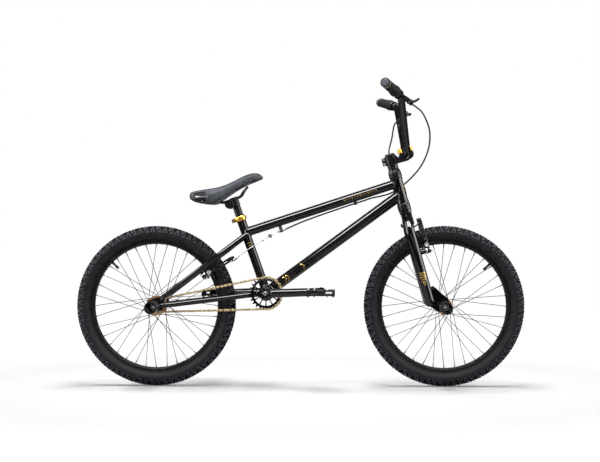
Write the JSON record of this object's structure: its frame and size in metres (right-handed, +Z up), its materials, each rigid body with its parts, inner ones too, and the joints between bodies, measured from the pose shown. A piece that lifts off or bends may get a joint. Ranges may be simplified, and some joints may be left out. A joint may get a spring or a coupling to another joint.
{
  "type": "bmx bike",
  "caption": "Black freestyle bmx bicycle with high handlebar, cable rim brakes, axle pegs, gold seat clamp, grey saddle and knobby tyres.",
  "frame": {"origin": "on the ground, halfway between the axles, in the centre plane", "axes": "+X forwards, +Y to the rider's left, +Z up; the chain is on the -Y side"},
  "size_m": [1.4214, 0.7192, 0.9434],
  "materials": {
    "gloss_black": "gloss",
    "satin_black": "satin",
    "gold": "anodised",
    "steel": "brushed",
    "chain": "plated",
    "hub": "polished",
    "tyre": "matte",
    "rim": "satin",
    "grip": "matte",
    "saddle": "satin",
    "cable": "satin",
    "pad": "matte"
  },
  "bodies": {
    "frame": {"frame": "gloss_black", "headset_upper_cup": "gloss_black", "headset_lower_cup": "gloss_black", "chain": "chain", "rear_axle": "steel", "seat_clamp": "gold", "seat_clamp_bolt": "steel", "bottom_bracket_left_bearing": "steel", "bottom_bracket_right_bearing": "steel", "rear_left_peg": "gloss_black", "rear_right_peg": "gloss_black", "rear_brake_wire": "steel", "rear_brake_housing": "cable"},
    "steering": {"fork": "gloss_black", "handlebar": "gloss_black", "front_axle": "steel", "headset_cover": "gloss_black", "headset_spacer": "satin_black", "stem": "satin_black", "stem_clamp": "satin_black", "stem_top_bolt": "satin_black", "left_grip": "grip", "left_bar_end": "grip", "right_grip": "grip", "right_bar_end": "grip", "front_left_peg": "gloss_black", "front_right_peg": "gloss_black", "left_lever_perch": "satin_black", "right_lever_perch": "satin_black", "front_brake_cable": "cable"},
    "left_lever": {"left_brake_lever": "satin_black"},
    "right_lever": {"right_brake_lever": "satin_black"},
    "crank": {"crank_spindle": "steel", "chainring": "gloss_black", "left_crank_arm": "gloss_black", "right_crank_arm": "gloss_black", "left_pedal_axle": "steel", "right_pedal_axle": "steel"},
    "left_pedal": {"left_pedal": "satin_black"},
    "right_pedal": {"right_pedal": "satin_black"},
    "front_wheel": {"front_tyre": "tyre", "front_rim": "rim", "front_hub": "hub"},
    "rear_wheel": {"rear_tyre": "tyre", "rear_rim": "rim", "rear_hub": "hub"},
    "driver": {"rear_driver": "steel"},
    "post": {"seat_post": "satin_black", "saddle_clamp": "satin_black"},
    "saddle": {"saddle": "saddle", "saddle_rails": "satin_black", "saddle_clamp_discs": "satin_black"},
    "front_left_arm": {"front_brake_left_arm": "satin_black", "front_brake_left_pad": "pad"},
    "front_right_arm": {"front_brake_right_arm": "satin_black", "front_brake_right_pad": "pad"},
    "rear_left_arm": {"rear_brake_left_arm": "satin_black", "rear_brake_left_pad": "pad"},
    "rear_right_arm": {"rear_brake_right_arm": "satin_black", "rear_brake_right_pad": "pad"}
  },
  "joints": [
    {"name": "steering_turn", "type": "hinge", "parent": "frame", "child": "steering", "pos_m": [0.317, 0, 0.6182], "axis": [-0.2689, 0, 0.9632], "range_deg": [-75, 75], "deforming": ["rear_brake_housing"]},
    {"name": "front_wheel_spin", "type": "hinge", "parent": "steering", "child": "front_wheel", "pos_m": [0.4567, 0, 0.254], "axis": [0, 1, 0], "continuous": true},
    {"name": "rear_wheel_spin", "type": "hinge", "parent": "frame", "child": "rear_wheel", "pos_m": [-0.4567, 0, 0.254], "axis": [0, 1, 0], "continuous": true},
    {"name": "crank_spin", "type": "hinge", "parent": "frame", "child": "crank", "pos_m": [-0.1051, 0, 0.2956], "axis": [0, 1, 0], "continuous": true},
    {"name": "driver_spin", "type": "hinge", "parent": "frame", "child": "driver", "pos_m": [-0.4567, 0, 0.254], "axis": [0, 1, 0], "continuous": true},
    {"name": "left_pedal_spin", "type": "hinge", "parent": "crank", "child": "left_pedal", "pos_m": [-0.27999, 0.0735, 0.28949], "axis": [0, 1, 0], "continuous": true},
    {"name": "right_pedal_spin", "type": "hinge", "parent": "crank", "child": "right_pedal", "pos_m": [0.06979, -0.0735, 0.30171], "axis": [0, 1, 0], "continuous": true},
    {"name": "left_lever_pull", "type": "hinge", "parent": "steering", "child": "left_lever", "pos_m": [0.345, 0.225, 0.88], "axis": [0.3784, -0.1403, 0.9149], "range_deg": [0, 20], "stiffness_Nm_per_rad": 0.6, "springref_deg": -20.05},
    {"name": "right_lever_pull", "type": "hinge", "parent": "steering", "child": "right_lever", "pos_m": [0.345, -0.225, 0.88], "axis": [-0.3784, -0.1403, -0.9149], "range_deg": [0, 20], "stiffness_Nm_per_rad": 0.6, "springref_deg": -20.05},
    {"name": "front_left_arm_close", "type": "hinge", "parent": "steering", "child": "front_left_arm", "pos_m": [0.40482, 0.042, 0.43123], "axis": [0.9632, 0, 0.2689], "range_deg": [0, 2.8]},
    {"name": "front_right_arm_close", "type": "hinge", "parent": "steering", "child": "front_right_arm", "pos_m": [0.40482, -0.042, 0.43123], "axis": [-0.9632, 0, -0.2689], "range_deg": [0, 2.8]},
    {"name": "rear_left_arm_close", "type": "hinge", "parent": "frame", "child": "rear_left_arm", "pos_m": [-0.30067, 0.042, 0.35152], "axis": [0.53, 0, -0.848], "range_deg": [0, 2.8]},
    {"name": "rear_right_arm_close", "type": "hinge", "parent": "frame", "child": "rear_right_arm", "pos_m": [-0.30067, -0.042, 0.35152], "axis": [-0.53, 0, 0.848], "range_deg": [0, 2.8]},
    {"name": "seat_post_slide", "type": "slide", "parent": "frame", "child": "post", "axis": [-0.3322, 0, 0.9432], "range_m": [-0.028, 0.1]},
    {"name": "saddle_tilt", "type": "hinge", "parent": "post", "child": "saddle", "pos_m": [-0.2224, 0, 0.5766], "axis": [0, 1, 0], "range_deg": [-10, 10]}
  ],
  "couplings": [
    {"joint": "driver_spin", "follows": "crank_spin", "ratio": 2.7778},
    {"joint": "front_left_arm_close", "follows": "left_lever_pull", "ratio": 0.14},
    {"joint": "front_right_arm_close", "follows": "left_lever_pull", "ratio": 0.14},
    {"joint": "rear_left_arm_close", "follows": "right_lever_pull", "ratio": 0.14},
    {"joint": "rear_right_arm_close", "follows": "right_lever_pull", "ratio": 0.14}
  ]
}
